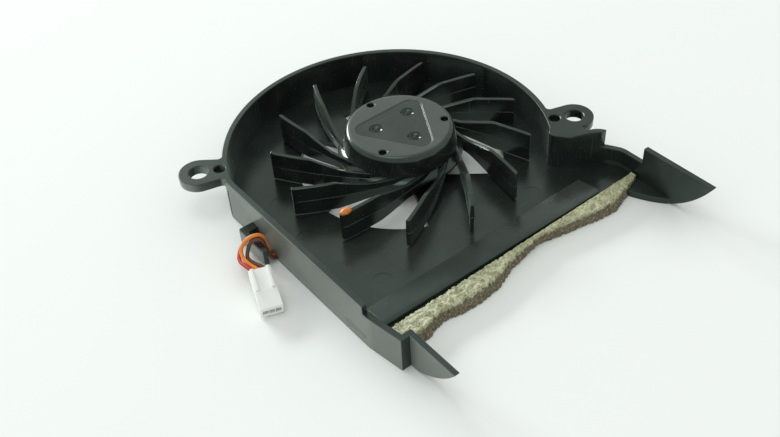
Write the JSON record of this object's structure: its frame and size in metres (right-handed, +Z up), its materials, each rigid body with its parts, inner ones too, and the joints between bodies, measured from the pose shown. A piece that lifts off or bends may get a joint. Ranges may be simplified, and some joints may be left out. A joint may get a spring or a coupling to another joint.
{
  "type": "laptop blower fan",
  "caption": "Flat centrifugal laptop fan with its cover off: open scroll housing with screw ears, backward-curved impeller on an outer-rotor motor, hooked leads and worn foam at the outlet.",
  "frame": {"origin": "on the rotor's axis, in the plane of the housing's underside", "axes": "+Z up out of the open top along the rotor's axis, -Y the way the air leaves, +X from the side with the leads to the side with the tongue"},
  "size_m": [0.0749, 0.0813, 0.0098],
  "materials": {
    "housing_plastic": "satin black moulded plastic",
    "impeller_plastic": "satin black moulded plastic",
    "yoke_steel": "pressed steel cup",
    "bonded_ferrite": "rubber-bonded magnet",
    "shaft_steel": "ground and polished",
    "tube_brass": "turned",
    "sintered_bronze": "sintered, oil-soaked",
    "bearing_nylon": "plain nylon",
    "stator_steel": "laminated sheet",
    "insulator_plastic": "plain moulded",
    "coil_copper": "enamelled wire",
    "board_laminate": "green solder mask",
    "chip_epoxy": "moulded epoxy",
    "capacitor_ceramic": "fired ceramic",
    "foam": "dusty open-cell foam",
    "dab_compound": "set compound",
    "red_insulation": "soft sheath",
    "orange_insulation": "soft sheath",
    "brown_insulation": "soft sheath",
    "connector_nylon": "natural white nylon",
    "terminal_brass": "tinned"
  },
  "bodies": {
    "fan_frame": {"housing": "housing_plastic", "bearing_tube": "tube_brass", "sleeve_bearing": "sintered_bronze", "thrust_pad": "bearing_nylon", "retaining_washer": "bearing_nylon", "stator_core": "stator_steel", "upper_insulator": "insulator_plastic", "lower_insulator": "insulator_plastic", "coil_1": "coil_copper", "coil_2": "coil_copper", "coil_3": "coil_copper", "coil_4": "coil_copper", "circuit_board": "board_laminate", "driver_chip": "chip_epoxy", "chip_resistor": "chip_epoxy", "chip_capacitor": "capacitor_ceramic", "foam_strip": "foam", "red_wire": "red_insulation", "orange_wire": "orange_insulation", "brown_wire": "brown_insulation", "connector_housing": "connector_nylon", "crimp_terminals": "terminal_brass"},
    "rotor": {"impeller": "impeller_plastic", "rotor_yoke": "yoke_steel", "ring_magnet": "bonded_ferrite", "shaft": "shaft_steel", "balance_dab": "dab_compound"}
  },
  "joints": [
    {"name": "impeller_spin", "type": "hinge", "parent": "fan_frame", "child": "rotor", "pos_m": [0, 0, 0], "axis": [0, 0, 1], "continuous": true}
  ]
}
